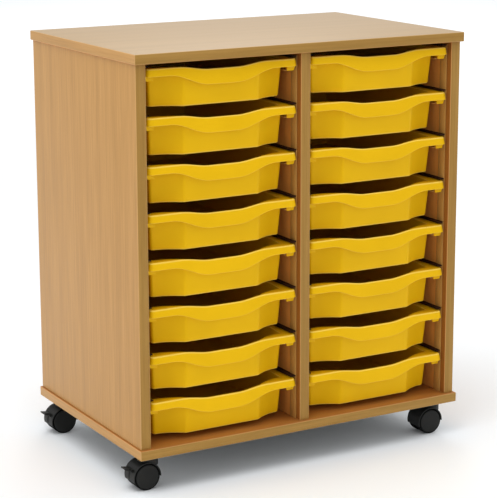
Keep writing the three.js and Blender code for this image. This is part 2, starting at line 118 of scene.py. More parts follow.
def add_lamp(name, place, aim, width, power):
    """A square soft lamp at a place, turned so that its -Z axis points at the aim."""
    data = bpy.data.lights.new(name, "AREA")
    data.shape = "SQUARE"
    data.size = width
    data.energy = power
    lamp = bpy.data.objects.new(name, data)
    lamp.location = place
    toward = np.array(aim) - np.array(place)
    yaw = math.atan2(-toward[0], toward[1])
    pitch = math.acos(-toward[2] / np.linalg.norm(toward))
    lamp.rotation_euler = (pitch, 0, yaw)
    bpy.context.scene.collection.objects.link(lamp)
    return lamp


for lamp in LAMPS:
    add_lamp(*lamp)
print("floor", 2 * FLOOR_HALF, "m wide,", len(LAMPS), "lamps")

# %% [markdown]
# ## From grids to meshes
# Every new piece is a grid of points: a section carried along a path, or a row of rings. Cubes and cylinders could be
# cut and bevelled instead, but a grid keeps every size in one formula. The grids are worked out as whole arrays, and
# one function turns them into a mesh. It looks at the sign of the enclosed volume, so that the faces point outwards
# whichever way the grid runs, and it merges the points that meet at poles and seams.

# %% Grids to meshes
MERGE_DISTANCE = 1e-6


def grid_quads(rows, columns):
    """Quad (i, j) joins points (i, j), (i, j+1), (i+1, j+1) and (i+1, j). The last column meets the first."""
    below = (np.arange(rows - 1) * columns)[:, None]
    here = np.arange(columns)[None, :]
    after = (here + 1) % columns
    corners = [below + here, below + after, below + columns + after, below + columns + here]
    return np.stack(corners, axis=-1).reshape(-1, 4)


def enclosed_volume(points, quads):
    """Signed volume of a closed skin: the sum of a.(b x c) / 6 over its triangles."""
    a, b, c, d = (points[quads[:, k]] for k in range(4))
    return float(np.sum(a * np.cross(b, c)) + np.sum(a * np.cross(c, d))) / 6


def skin(grid, wear=0.0, capped=False, finish=0):
    """A closed grid with its edge mark from 0 to 1 for worn edges and painted highlight, flat lids at its ends if
    capped, and its finish's number.
    """
    return {"grid": grid, "wear": np.broadcast_to(wear, grid.shape[:2]), "capped": capped, "finish": finish}


def build(name, skins, sharp_deg=38):
    """One mesh object from closed skins, smooth except where faces meet at more than the sharp angle."""
    points, faces, wear, finishes, start = [], [], [], [], 0
    for part in skins:
        grid = part["grid"]
        rows, columns = grid.shape[:2]
        middles = [np.repeat(grid[end].mean(axis=0)[None, None], columns, axis=1) for end in (0, -1)]
        closed = np.concatenate([middles[0], grid, middles[1]]).reshape(-1, 3)
        outward = enclosed_volume(closed, grid_quads(rows + 2, columns)) > 0
        ring = np.arange(columns)
        polygons = (grid_quads(rows, columns) + start)[:, :: 1 if outward else -1].tolist()
        if part["capped"]:
            lids = [ring[::-1] + start, ring + start + (rows - 1) * columns]
            polygons += [lid[:: 1 if outward else -1].tolist() for lid in lids]
        points.append(grid.reshape(-1, 3))
        wear.append(part["wear"].reshape(-1))
        faces += polygons
        finishes += [part["finish"]] * len(polygons)
        start += rows * columns
    mesh = bpy.data.meshes.new(name)
    mesh.from_pydata(np.concatenate(points).tolist(), [], faces)
    mesh.polygons.foreach_set("material_index", finishes)
    mesh.attributes.new("wear", "FLOAT", "POINT").data.foreach_set("value", np.concatenate(wear))
    work = bmesh.new()
    work.from_mesh(mesh)
    bmesh.ops.remove_doubles(work, verts=work.verts, dist=MERGE_DISTANCE)
    work.to_mesh(mesh)
    work.free()
    mesh.polygons.foreach_set("use_smooth", np.ones(len(mesh.polygons), dtype=bool))
    mesh.set_sharp_from_angle(angle=math.radians(sharp_deg))
    piece = bpy.data.objects.new(name, mesh)
    bpy.context.scene.collection.objects.link(piece)
    return piece


def dress(piece, body, slot, nodes, *materials):
    """Puts a piece on its body, hides the solids it stands for, and gives it its finishes."""
    for material in materials:
        piece.data.materials.append(material)
    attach(piece, body)
    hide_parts(*nodes)


print("a grid of 3 by 4 points has", len(grid_quads(3, 4)), "faces")

# %% [markdown]
# ## Rounded edges
# Moulded and edged pieces have no knife-sharp edges. A Bevel modifier could round them, but it can't tell a crisp lip
# from a soft corner. Here every key row or corner has its own cut, and a short curve takes its place. The same curve
# marks how strongly each edge is lightened, as a worn edge and as a painted highlight, which the finishes read later.

# %% Rounded rows and outlines
LARGEST_CUT = 0.45


def round_keys(keys, cuts, steps, wear=None):
    """Rows of a skin from its key rows, with every inner key row rounded off.

    An inner key K becomes (1-t)^2 A + 2t(1-t) K + t^2 B, where A and B lie a cut's length before and after it. A cut
    is at most LARGEST_CUT of the way to the next key. Each rounded row's edge mark, for worn edges and a painted
    highlight, is its weight times sin(pi t).
    """
    t = np.linspace(0, 1, steps)[:, None, None]
    rows = [keys[:1]]
    marks = [np.zeros(1)]
    weights = np.zeros(len(cuts)) if wear is None else wear
    for before, key, after, cut, weight in zip(keys[:-2], keys[1:-1], keys[2:], cuts, weights):
        towards = []
        for other in (before, after):
            length = np.linalg.norm(other - key, axis=-1, keepdims=True)
            share = np.minimum(cut, LARGEST_CUT * length) / np.maximum(length, MERGE_DISTANCE)
            towards.append(key + (other - key) * share)
        rows.append((1 - t) ** 2 * towards[0] + 2 * t * (1 - t) * key + t ** 2 * towards[1])
        marks.append(weight * np.sin(np.pi * t[:, 0, 0]))
    rows.append(keys[-1:])
    marks.append(np.zeros(1))
    return np.concatenate(rows), np.concatenate(marks)[:, None]


def round_loop(corners, cut, steps=5):
    """A closed flat outline whose corners K become (1-t)^2 A + 2t(1-t) K + t^2 B, at most a cut's length from K."""
    corners = np.asarray(corners, dtype=float)
    ends = []
    for shift in (1, -1):
        other = np.roll(corners, shift, axis=0)
        length = np.linalg.norm(other - corners, axis=-1, keepdims=True)
        ends.append(corners + (other - corners) * np.minimum(cut, LARGEST_CUT * length) / length)
    t = np.linspace(0, 1, steps)[None, :, None]
    curve = (1 - t) ** 2 * ends[0][:, None] + 2 * t * (1 - t) * corners[:, None] + t ** 2 * ends[1][:, None]
    return curve.reshape(-1, 2)


square = [[0, 0], [1, 0], [1, 1], [0, 1]]
print("a rounded square has", len(round_loop(square, 0.1)), "points")

# %% Softened block
def softened_block(low, high, radius, steps=4):
    """A block with rounded arrises, carried along its longest side.

    The section's corners stay at (+-(a - r), +-(b - r)) and carry arcs of radius r sin(t). The place along the block is
    r (1 - cos(t)) in from its end, so t from 0 to 90 degrees turns each end round.
    """
    low, high = np.array(low), np.array(high)
    axis = int(np.argmax(high - low))
    first, second = [k for k in range(3) if k != axis]
    middle, half = (low + high) / 2, (high - low) / 2
    turn = np.linspace(0, np.pi / 2, steps + 1)
    inward = radius * (1 - np.cos(turn))
    place = np.concatenate([low[axis] + inward, (high[axis] - inward)[::-1]])[:, None]
    ends = np.concatenate([turn, turn[::-1]])[:, None]
    angle = (turn[None, :] + np.arange(4)[:, None] * np.pi / 2).reshape(1, -1)
    corner_first = np.repeat([1, -1, -1, 1], steps + 1)[None, :]
    corner_second = np.repeat([1, 1, -1, -1], steps + 1)[None, :]
    grid = np.empty((len(place), angle.size, 3))
    grid[..., axis] = place
    grid[..., first] = middle[first] + corner_first * (half[first] - radius) + radius * np.sin(ends) * np.cos(angle)
    grid[..., second] = middle[second] + corner_second * (half[second] - radius) + radius * np.sin(ends) * np.sin(angle)
    wear = np.maximum(np.abs(np.sin(2 * ends)), np.abs(np.sin(2 * angle)) * np.sin(ends))
    return skin(grid, wear, capped=True)


print("a softened block has", softened_block([0, 0, 0], [3, 2, 1], 0.1)["grid"].shape[0], "rings")

# %% [markdown]
# ## Shader arithmetic
# A finish is a tree of nodes, which could be drawn by hand in the shader editor. It is easier to read as a formula, so
# this small class wraps a socket, and sums and products of sockets add the Math nodes themselves. Any other node comes
# from one method. Two more methods give what most finishes read: the place on the piece, and the edge mark that
# lightens worn edges and paints a highlight on them.

# %% Shader arithmetic
OBJECT_OUTPUT, FACTOR_OUTPUT = 3, 2


class Wire:
    """A socket of a material's nodes. Arithmetic on wires adds Math nodes."""

    def __init__(self, tree, socket=None):
        self.tree = tree
        self.socket = socket

    def node(self, kind, settings=(), sockets=(), output=0):
        """Adds a node of a kind, makes its settings, fills or links its sockets, and returns one output."""
        made = self.tree.nodes.new(kind)
        for name, value in dict(settings).items():
            if name == "stops":
                ramp = made.color_ramp.elements
                for number, (place, colour) in enumerate(value):
                    stop = ramp[number] if number < len(ramp) else ramp.new(place)
                    stop.position = place
                    stop.color = (*colour, 1)
            else:
                setattr(made, name, value)
        for key, value in dict(sockets).items():
            if isinstance(value, Wire):
                self.tree.links.new(value.socket, made.inputs[key])
            else:
                made.inputs[key].default_value = value
        return Wire(self.tree, made.outputs[output])

    def math(self, operation, first, second):
        return self.node("ShaderNodeMath", {"operation": operation}, {0: first, 1: second})

    def __add__(self, other):
        return self.math("ADD", self, other)

    __radd__ = __add__

    def __sub__(self, other):
        return self.math("SUBTRACT", self, other)

    def __rsub__(self, other):
        return self.math("SUBTRACT", other, self)

    def __mul__(self, other):
        return self.math("MULTIPLY", self, other)

    __rmul__ = __mul__

    def place(self):
        """Object coordinates, in metres."""
        return self.node("ShaderNodeTexCoord", output=OBJECT_OUTPUT)

    def wear(self):
        """The edge attribute: 0 on plain faces, up to 1 on worn edges that also carry a painted highlight."""
        return self.node("ShaderNodeAttribute", {"attribute_name": "wear"}, output=FACTOR_OUTPUT)

    def noise(self, scale, detail=2.0, roughness=0.5):
        """Noise at these coordinates, each stretched by its own scale."""
        place = self.node("ShaderNodeMapping", {}, {"Vector": self, "Scale": scale})
        sockets = {"Vector": place, "Scale": 1.0, "Detail": detail, "Roughness": roughness}
        return self.node("ShaderNodeTexNoise", {}, sockets)

    def ramp(self, *stops):
        """A colour that follows this value through the stops."""
        return self.node("ShaderNodeValToRGB", {"stops": stops}, {"Fac": self})

    def mix(self, first, second):
        """The first colour where this value is 0, the second where it is 1."""
        return self.node("ShaderNodeMix", {"data_type": "RGBA"}, {0: self, 6: first, 7: second}, output=2)


def start_material(name, **constants):
    """A material with a Principled shader. Constants go straight on its sockets, with _ for a space in a name."""
    material = bpy.data.materials.new(name)
    material.use_nodes = True
    shader = material.node_tree.nodes["Principled BSDF"]
    for socket, value in constants.items():
        shader.inputs[socket.replace("_", " ")].default_value = value
    return material, shader, Wire(material.node_tree)


def finish_material(material, shader, colour, roughness, height, depth):
    """Links what varies over the surface: colour, roughness and a bump of the given depth in metres."""
    links = material.node_tree.links
    links.new(colour.socket, shader.inputs["Base Color"])
    links.new(roughness.socket, shader.inputs["Roughness"])
    bump = height.node("ShaderNodeBump", {}, {"Strength": 1.0, "Distance": depth, "Height": height})
    links.new(bump.socket, shader.inputs["Normal"])
    return material


print("a wire has", len([name for name in vars(Wire) if not name.startswith("_")]), "methods of its own")

# %% [markdown]
# ## Wood-effect board
# The boards are faced with a printed beech pattern: soft bands and fine streaks along the grain, and a few short dark
# flecks. Object coordinates would carry one solid grain through every board. A print follows each face and each edging
# strip, so the pattern reads a UV map in metres instead, laid with u along the grain. The edge attribute lightens the
# rounded arrises, as worn edges and as a painted highlight. One function makes six prints: the edging strips are darker
# and yellower than the outer faces, partly their own tone and partly painted shade; the top is paler and greyer, a
# painted sheen; the inner faces are redder and brighter, painted bounce light, and darker at the front, painted shade;
# the base's inner top is darker and redder, painted shade; and the hidden underside has a grey backing.

# %% Board finish
BANDS, STREAKS, FIBRES, FLECKS = (1.4, 40.0, 1.0), (6.0, 210.0, 1.0), (14.0, 620.0, 1.0), (85.0, 900.0, 1.0)
FLECK_START, FLECK_END, FLECK_STRENGTH, FLECK_TONE = 0.64, 0.76, 0.2, 0.6
# Painted shade: the inner faces darken and redden towards the front edge, between these two depths along Y.
FRONT_SHADE_START, FRONT_SHADE_END, FRONT_SHADE_TINT = -0.205, -0.192, np.array([1.0, 0.85, 0.65])
BOARD_BUMP = 0.06 * MM


def beech_print(name, dark, middle, pale, gloss, front_shade=1.0):
    """Printed beech: dark to pale with the grain's tone, paler on worn arrises as a painted highlight, times a painted
    shade at the front.
    """
    material, shader, wire = start_material(name, Specular_IOR_Level=gloss)
    grain = wire.node("ShaderNodeUVMap", {"uv_map": "grain"})
    bands = grain.noise(BANDS, detail=2.0)
    streaks = grain.noise(STREAKS, detail=3.0, roughness=0.6)
    fibres = grain.noise(FIBRES, detail=2.0)
    flecks = grain.noise(FLECKS, detail=1.0)
    tone = bands * 0.32 + streaks * 0.50 + fibres * 0.18
    beech = tone.ramp((0.36, dark), (0.50, middle), (0.64, pale))
    fleck_limits = {"Value": flecks, "From Min": FLECK_START, "From Max": FLECK_END, "To Max": FLECK_STRENGTH}
    fleck_mask = flecks.node("ShaderNodeMapRange", {"clamp": True}, fleck_limits)
    flecked = fleck_mask.mix(beech, (*(FLECK_TONE * np.array(middle)), 1))
    # Painted shade: with a factor below one the print is darker and redder near the front.
    if front_shade < 1:
        depth = wire.node("ShaderNodeSeparateXYZ", {}, {0: wire.place()}, output=1)
        limits = {"Value": depth, "From Min": FRONT_SHADE_START, "From Max": FRONT_SHADE_END}
        behind = depth.node("ShaderNodeMapRange", {"interpolation_type": "SMOOTHSTEP"}, limits)
        flecked = behind.mix((*(front_shade * np.array(middle) * FRONT_SHADE_TINT), 1), flecked)
    # Worn arrises and painted highlight: the edge mark lightens them toward the pale tone.
    rubbed_and_highlit = (wire.wear() * 0.6).mix(flecked, (*(1.15 * np.array(pale) + 0.06), 1))
    return finish_material(
        material, shader, rubbed_and_highlit, 0.38 + streaks * 0.14, fibres * 0.6 + flecks * 0.4, BOARD_BUMP
    )


face_print = beech_print("beech_face", (0.430, 0.219, 0.056), (0.500, 0.258, 0.070), (0.565, 0.300, 0.092), 0.4)
# Edging strips: darker and yellower, partly their own tone and partly painted shade on the less lit fronts and backs.
strip_print_with_painted_shade = beech_print("beech_strip_with_painted_shade", (0.325, 0.172, 0.034), (0.372, 0.202, 0.044), (0.425, 0.236, 0.056), 0.2)
# Painted sheen: the top gets a paler, greyer copy of the beech.
painted_sheen_top_print = beech_print("beech_top_painted_sheen", (0.375, 0.245, 0.110), (0.410, 0.269, 0.124), (0.445, 0.294, 0.140), 0.4)
# Painted bounce light: the inner faces get a brighter, redder copy of the beech, with painted shade at the front.
painted_bounce_inner_print = beech_print("beech_inside_painted_bounce", (0.66, 0.278, 0.056), (0.70, 0.300, 0.066), (0.74, 0.325, 0.078), 0.15, 0.42)
# Painted shade: the base's inner top gets a darker, redder copy of the beech.
painted_shade_base_print = beech_print("beech_base_inside_painted_shade", (0.37, 0.142, 0.026), (0.39, 0.152, 0.030), (0.41, 0.165, 0.036), 0.2)
backing_print = beech_print("grey_backing", (0.15, 0.15, 0.145), (0.17, 0.17, 0.165), (0.19, 0.19, 0.185), 0.2)
print("six prints")

# %% [markdown]
# ## Carcass
# Two horizontal boards with three uprights and a back panel between them. A plain block would show knife-sharp edges,
# while real edging strips are rounded off, so each board is a block with rounded arrises.

# %% Grain on the boards
BOARD_ARRIS = 1.6 * MM
BACK_ARRIS = 0.6 * MM
X_AXIS, Y_AXIS, Z_AXIS = range(3)
SHIFT_PER_BOARD, SHIFT_ACROSS, SHIFT_PER_AXIS = 1.37, 0.7, 0.31


def lay_grain(piece, grain_axis, shift):
    """UV map in metres on each face, seen along its main direction: u runs along the grain, v across it.

    A face that the grain meets end on carries an edging strip, whose grain runs along the strip. The piece's six
    finishes go to the faces that look along -X, +X, -Y, +Y, -Z and +Z.
    """
    mesh = piece.data
    corners = np.empty(len(mesh.loops), dtype=np.int32)
    mesh.loops.foreach_get("vertex_index", corners)
    places = np.empty(len(mesh.vertices) * 3)
    mesh.vertices.foreach_get("co", places)
    places = places.reshape(-1, 3)
    normals = np.empty(len(mesh.polygons) * 3)
    mesh.polygons.foreach_get("normal", normals)
    counts = np.empty(len(mesh.polygons), dtype=np.int32)
    mesh.polygons.foreach_get("loop_total", counts)
    normals = normals.reshape(-1, 3)
    turned = np.abs(normals).argmax(axis=1)
    outward = np.take_along_axis(normals, turned[:, None], axis=1)[:, 0] > 0
    facing = np.repeat(turned, counts)
    size = np.ptp(places, axis=0)
    mesh.polygons.foreach_set("material_index", (2 * turned + outward).astype(np.int32))
    along, across = np.empty(3, dtype=int), np.empty(3, dtype=int)
    for axis in range(3):
        pair = [k for k in range(3) if k != axis]
        along[axis] = grain_axis if grain_axis != axis else max(pair, key=lambda k: size[k])
        across[axis] = sum(pair) - along[axis]
    each = np.arange(len(corners))
    u = places[corners][each, along[facing]] + shift
    v = places[corners][each, across[facing]] + SHIFT_ACROSS * shift + SHIFT_PER_AXIS * facing
    mesh.uv_layers.new(name="grain").data.foreach_set("uv", np.stack([u, v], axis=-1).ravel())


print("the grain starts", SHIFT_PER_BOARD, "m further on for each board, so no two look alike")

# %% Boards
face, strip, inner = face_print, strip_print_with_painted_shade, painted_bounce_inner_print
boards = [
    ("top_board", "top_panel", X_AXIS, BOARD_ARRIS, (face, face, strip, strip, inner, painted_sheen_top_print)),
    ("base_board", "base_panel", X_AXIS, BOARD_ARRIS, (face, face, strip, strip, backing_print, painted_shade_base_print)),
    ("left_side_board", "left_side_panel", Z_AXIS, BOARD_ARRIS, (face, inner, strip, strip, face, face)),
    ("right_side_board", "right_side_panel", Z_AXIS, BOARD_ARRIS, (inner, face, strip, strip, face, face)),
    ("divider_board", "centre_divider", Z_AXIS, BOARD_ARRIS, (inner, inner, strip, strip, face, face)),
    ("back_board", "back_panel", Z_AXIS, BACK_ARRIS, (face, face, inner, face, face, face)),
]
for number, (name, node, grain_axis, arris, prints) in enumerate(boards):
    board = build(name, [softened_block(*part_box(node), arris)])
    lay_grain(board, grain_axis, SHIFT_PER_BOARD * number)
    dress(board, "carcass", "board", [node], *prints)
print(len(boards), "boards")

# %% [markdown]
# ## Tray plastic
# The trays are moulded in yellow plastic with a faint texture. A single flat yellow would look like paint, so the
# colour shifts a little from place to place, edges that hands rub are smoother and paler, which also paints a highlight
# along them, and a very fine bump breaks up the gloss.

# %% Tray plastic
TRAY_CLOUDS, TRAY_STIPPLE, TRAY_BUMP = (9.0,) * 3, (1400.0,) * 3, 0.03 * MM
# Worn edges and painted highlight: the tray's lightened edges go toward this pale yellow.
TRAY_GLOSS_TINT, HIGHLIGHT_AND_RUBBED_YELLOW = (1.0, 0.8, 0.25, 1), (1.0, 0.75, 0.16, 1)
tray_plastic, tray_shader, wire = start_material("yellow_plastic", Specular_IOR_Level=0.3)
tray_shader.inputs["Specular Tint"].default_value = TRAY_GLOSS_TINT
place = wire.place()
clouds = place.noise(TRAY_CLOUDS, detail=2.0)
stipple = place.noise(TRAY_STIPPLE, detail=1.0)
yellow = clouds.ramp((0.3, (0.80, 0.462, 0.002)), (0.7, (0.86, 0.503, 0.003)))
tray_wear = wire.wear()
rubbed_and_highlit = (tray_wear * 0.7).mix(yellow, HIGHLIGHT_AND_RUBBED_YELLOW)
finish_material(tray_plastic, tray_shader, rubbed_and_highlit, 0.40 + clouds * 0.12 - tray_wear * 0.12, stipple, TRAY_BUMP)
print("tray plastic has", len(tray_plastic.node_tree.nodes), "nodes")

# %% [markdown]
# ## Trays
# Each tray is one thin moulded shell. It could be a box with a Solidify modifier, but its rim and its wall differ in
# plan, so it is a stack of rings. Seen from above, its rim is straight and its front wall has a flat panel between two
# ends that curve back. Seen from the front, the rim dips in a wave. Round its whole edge hangs a flared band, and along
# the sides and the back a skirt hangs lower, behind that band, with a tab across its front end. Two outlines in plan,
# one for the rim and one for the wall, have the same count of points, so rings at different heights join into one
# closed skin.

# %% Tray outlines
RIM_HALF, WALL_HALF = 149 * MM, 136 * MM
TRAY_REACH, TRAY_HEIGHT = 406 * MM, 71 * MM
RIM_CORNER, RIM_BACK_CORNER = 7 * MM, 16 * MM
RIM_THICKNESS, RIM_FLANGE, RIM_FLARE = 2.5 * MM, 10 * MM, 2.5 * MM
RIM_FALL, FALL_LENGTH = 2 * MM, 30 * MM
PANEL_HALF, FACET_DEPTH, FACET_POWER = 76 * MM, 21 * MM, 1.75
WALL_SETBACK, WALL_CORNER, WALL_DRAFT, WALL_THICKNESS = 6.4 * MM, 5 * MM, 5 * MM, 2.2 * MM
FLOOR_THICKNESS = 2.5 * MM
WAVE_DIP, WAVE_FLAT, WAVE_REACH, BAND_WAVE_REACH = 6.5 * MM, 28 * MM, 87 * MM, 107 * MM
BAND_END, BAND_MIDDLE = 14 * MM, 27.5 * MM
SKIRT_HEIGHT, SKIRT_START, SKIRT_INSET, SKIRT_THICKNESS = 22.5 * MM, 1 * MM, 0.6 * MM, 2.2 * MM
TAB_REACH = 14.5 * MM
PANEL_STEPS, FACET_STEPS, CORNER_STEPS = 16, 18, 7


def hump(x, flat, reach):
    """One where |x| < flat, nought where |x| > reach, and half a cosine wave between."""
    part = np.clip((reach - np.abs(x)) / (reach - flat), 0, 1)
    return 0.5 - 0.5 * np.cos(np.pi * part)


def quarter(centre_x, centre_y, radius, start_deg, end_deg):
    """Points of an arc without its first: centre + radius (cos, sin)."""
    angle = np.radians(np.linspace(start_deg, end_deg, CORNER_STEPS + 1)[1:])
    return np.stack([centre_x + radius * np.cos(angle), centre_y + radius * np.sin(angle)], axis=-1)


def front_places(end):
    """Places across the right half of the front: over the flat panel, then over the curved end."""
    panel = np.linspace(0, PANEL_HALF, PANEL_STEPS + 1)
    return np.concatenate([panel, np.linspace(PANEL_HALF, end, FACET_STEPS + 1)[1:]])


def side_places(start, end):
    """Places along the right side: both faces of the tab, the skirt behind it, the level rim, halfway and the back."""
    tab = start + SKIRT_START + SKIRT_THICKNESS * np.arange(3)
    return np.concatenate([tab, [start + FALL_LENGTH, (start + end) / 2, end]])


def whole_ring(right_half):
    """A ring from its right half: the left half mirrors it, without the two points on the middle line."""
    return np.concatenate([right_half, right_half[-2:0:-1] * [-1, 1]])


def rim_plan(inset):
    """The rim seen from above, drawn in by an inset: straight across the front, then corners and sides."""
    corner_x = RIM_HALF - RIM_CORNER
    x = front_places(corner_x)
    front = np.stack([x, np.full(len(x), inset)], axis=-1)
    corner = quarter(corner_x, RIM_CORNER, RIM_CORNER - inset, -90, 0)
    y = side_places(RIM_CORNER, TRAY_REACH - RIM_BACK_CORNER)
    side = np.stack([np.full(len(y), RIM_HALF - inset), y], axis=-1)
    back = quarter(RIM_HALF - RIM_BACK_CORNER, y[-1], RIM_BACK_CORNER - inset, 0, 90)
    middle = np.array([[0.5 * RIM_HALF, TRAY_REACH - inset], [0, TRAY_REACH - inset]])
    return whole_ring(np.concatenate([front, corner, side, back, middle]))


def wall_plan(inset):
    """The wall seen from above, drawn in by an inset: a flat panel, ends curved back by 1 - (1 - d)^p, corners."""
    half, front_y, radius = WALL_HALF - inset, WALL_SETBACK + inset, WALL_CORNER
    centre_x, centre_y = half - radius, front_y + FACET_DEPTH + radius
    x = front_places(centre_x)
    d = np.clip((x - PANEL_HALF) / (centre_x - PANEL_HALF), 0, 1)
    front = np.stack([x, front_y + FACET_DEPTH * (1 - (1 - d) ** FACET_POWER)], axis=-1)
    corner = quarter(centre_x, centre_y, radius, -90, 0)
    back_y = TRAY_REACH - RIM_FLANGE - inset
    y = side_places(centre_y, back_y - radius)
    side = np.stack([np.full(len(y), half), y], axis=-1)
    back = quarter(centre_x, back_y - radius, radius, 0, 90)
    middle = np.array([[0.5 * half, back_y], [0, back_y]])
    return whole_ring(np.concatenate([front, corner, side, back, middle]))


print("rim and wall outlines of", len(rim_plan(0)), "points")

# %% [markdown]
# The tray's skin runs from the middle of its underside, up the outside, over the rim and down to the floor inside. Each
# key row below is one ring on that way, and the rows between them are rounded off.

# %% Tray skin
rim_ring = rim_plan(0)
rim_inward = (rim_plan(1 * MM) - rim_ring) / MM
half_count = len(rim_ring) // 2 + 1
side_start = PANEL_STEPS + FACET_STEPS + 1 + CORNER_STEPS
across_front = (rim_ring[:, 1] < 0.05 * TRAY_REACH).astype(float)
dips = WAVE_DIP * across_front * hump(rim_ring[:, 0], WAVE_FLAT, WAVE_REACH)
band_wave = across_front * hump(rim_ring[:, 0], WAVE_FLAT, BAND_WAVE_REACH)
band_falls = BAND_END + (WAVE_DIP + BAND_MIDDLE - BAND_END) * band_wave


def mirrored(right_half):
    """Values for a whole ring from those for its right half."""
    return np.concatenate([right_half, right_half[-2:0:-1]])


steps = np.arange(half_count)
skirted = mirrored((steps >= side_start).astype(float))
tabbed = mirrored(((steps == side_start) | (steps == side_start + 1)).astype(float))
slopes = RIM_FALL * mirrored((steps < side_start + 3).astype(float))
skirt_falls = np.where(skirted > 0, SKIRT_HEIGHT, band_falls)
skirt_inner = SKIRT_INSET + SKIRT_THICKNESS + (TAB_REACH - SKIRT_INSET - SKIRT_THICKNESS) * tabbed


def raise_ring(ring, height):
    """A ring in plan lifted to a height, which may change along the ring."""
    return np.concatenate([ring, np.broadcast_to(height, len(ring))[:, None]], axis=-1)


def hang_ring(front_inset, side_inset, height):
    """The rim's ring, drawn in by one inset across the front and another along the sides and the back."""
    inset = front_inset + (side_inset - front_inset) * skirted
    return raise_ring(rim_ring + rim_inward * inset[:, None], height)


underside = raise_ring(np.tile([0, 0.5 * TRAY_REACH], (len(rim_ring), 1)), -TRAY_HEIGHT)
floor_inside = underside + [0, 0, FLOOR_THICKNESS]
tray_keys = np.stack([
    underside,
    raise_ring(wall_plan(WALL_DRAFT), -TRAY_HEIGHT),
    raise_ring(wall_plan(0), -dips - slopes - RIM_THICKNESS),
    hang_ring(RIM_THICKNESS, skirt_inner, -dips - RIM_THICKNESS),
    hang_ring(RIM_THICKNESS - RIM_FLARE, skirt_inner, -skirt_falls),
    hang_ring(-0.4 * RIM_FLARE, SKIRT_INSET, -skirt_falls),
    hang_ring(-0.6 * RIM_FLARE, SKIRT_INSET, -band_falls),
    hang_ring(-RIM_FLARE, -RIM_FLARE, -band_falls),
    raise_ring(rim_ring, -dips),
    raise_ring(wall_plan(WALL_THICKNESS), -dips - slopes),
    raise_ring(wall_plan(WALL_DRAFT + WALL_THICKNESS), FLOOR_THICKNESS - TRAY_HEIGHT),
    floor_inside,
])
tray_cuts = np.array([3.0, 2.0, 1.2, 0.9, 0.9, 0.3, 0.9, 3.2, 2.2, 4.0]) * MM
# How much each rounded key row is lightened, as worn edge and painted highlight, most on the rim's top and wall's foot.
tray_edges = [0.8, 0, 0, 0.2, 0.4, 0, 0.5, 1.0, 0.6, 0]
tray_rows, tray_row_wear = round_keys(tray_keys, tray_cuts, 6, tray_edges)
print("tray skin of", tray_rows.shape[0], "rows by", tray_rows.shape[1], "points")

# %% Trays in their places
TRAY_ROWS = 8
for side in ("left", "right"):
    for row in range(1, TRAY_ROWS + 1):
        node = f"tray_{side}_{row}"
        low, high = (np.array(corner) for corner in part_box(node))
        origin = np.array([(low[0] + high[0]) / 2, high[1] - RIM_FLARE - TRAY_REACH, high[2]])
        tray = build(f"{side}_tray_{row}", [skin(tray_rows + origin, tray_row_wear)])
        dress(tray, node, "tray", [node], tray_plastic)
print(2 * TRAY_ROWS, "trays of", len(tray.data.polygons), "faces")

# %% [markdown]
# ## Dark plastics
# The runners and the castors are moulded in dark plastic. One function makes both: a dark colour that varies softly, a
# fine grain in the bump, and paler, smoother edges where the surface is worn, which also paints a highlight along them.

# %% Dark plastics
PLASTIC_CLOUDS, PLASTIC_BUMP = (35.0,) * 3, 0.04 * MM


def dark_plastic(name, dark, pale, worn_and_highlight_colour, roughness, grain_size, gloss):
    """Colour between dark and pale by soft noise, paler on worn edges as a painted highlight, with a fine bump of the
    given grain size.
    """
    material, shader, wire = start_material(name, Specular_IOR_Level=gloss)
    place = wire.place()
    clouds = place.noise(PLASTIC_CLOUDS, detail=3.0)
    grit = place.noise((1 / grain_size,) * 3, detail=2.0)
    wear = wire.wear()
    colour = (wear * 0.5).mix(clouds.ramp((0.35, dark), (0.65, pale)), (*worn_and_highlight_colour, 1))
    return finish_material(material, shader, colour, roughness + clouds * 0.15 - wear * 0.1, grit, PLASTIC_BUMP)


# Painted shade: the lips' near-black plastic stands for the dark gap above each tray's rim.
painted_shade_lip_plastic = dark_plastic(
    "painted_shade_lip_plastic", (0.024, 0.010, 0.005), (0.034, 0.015, 0.008), (0.06, 0.03, 0.02), 0.55, 0.0012, 0.12
)
rail_plastic = dark_plastic(
    "rail_plastic", (0.46, 0.244, 0.062), (0.50, 0.266, 0.070), (0.57, 0.32, 0.09), 0.5, 0.0012, 0.2
)
hood_plastic = dark_plastic(
    "hood_plastic", (0.006, 0.006, 0.005), (0.011, 0.011, 0.0095), (0.035, 0.035, 0.033), 0.42, 0.0009, 0.26
)
disc_plastic = dark_plastic(
    "disc_plastic", (0.007, 0.007, 0.006), (0.012, 0.012, 0.0105), (0.035, 0.035, 0.033), 0.5, 0.0009, 0.26
)
tyre_rubber = dark_plastic(
    "tyre_rubber", (0.002, 0.002, 0.002), (0.004, 0.004, 0.0035), (0.008, 0.008, 0.008), 0.75, 0.0007, 0.06
)
print("five plastics")

# %% [markdown]
# ## Runners
# Each tray's skirts rest on ledges at both sides of its bay. A ledge, the plate behind it and a lip above the tray's
# rim make one channel. The ledge is brown and the lip is nearly black, a painted shade for the dark gap above each rim,
# so each is an outline of its own, carried along the bay. Two channels are joined by a rail at the front and a strap
# near the back. The rail runs on down to the next pair.

# %% Runners
RUNNER_PLATE, LEDGE_REACH, LIP_REACH, LEG_THICKNESS = 1.5 * MM, 16 * MM, 12.5 * MM, 2 * MM
LIP_CLEARANCE, LEDGE_CLEARANCE = 1.8 * MM, 0.4 * MM
RAIL_WIDTH, RAIL_PROUD, STRAP_PLACE, STRAP_WIDTH = 20 * MM, 0.1 * MM, 5 / 6, 30 * MM
RUNNERS_IN_PAIR, TRAY_PITCH, LEDGE_SETBACK = 2, 85.5 * MM, 18 * MM

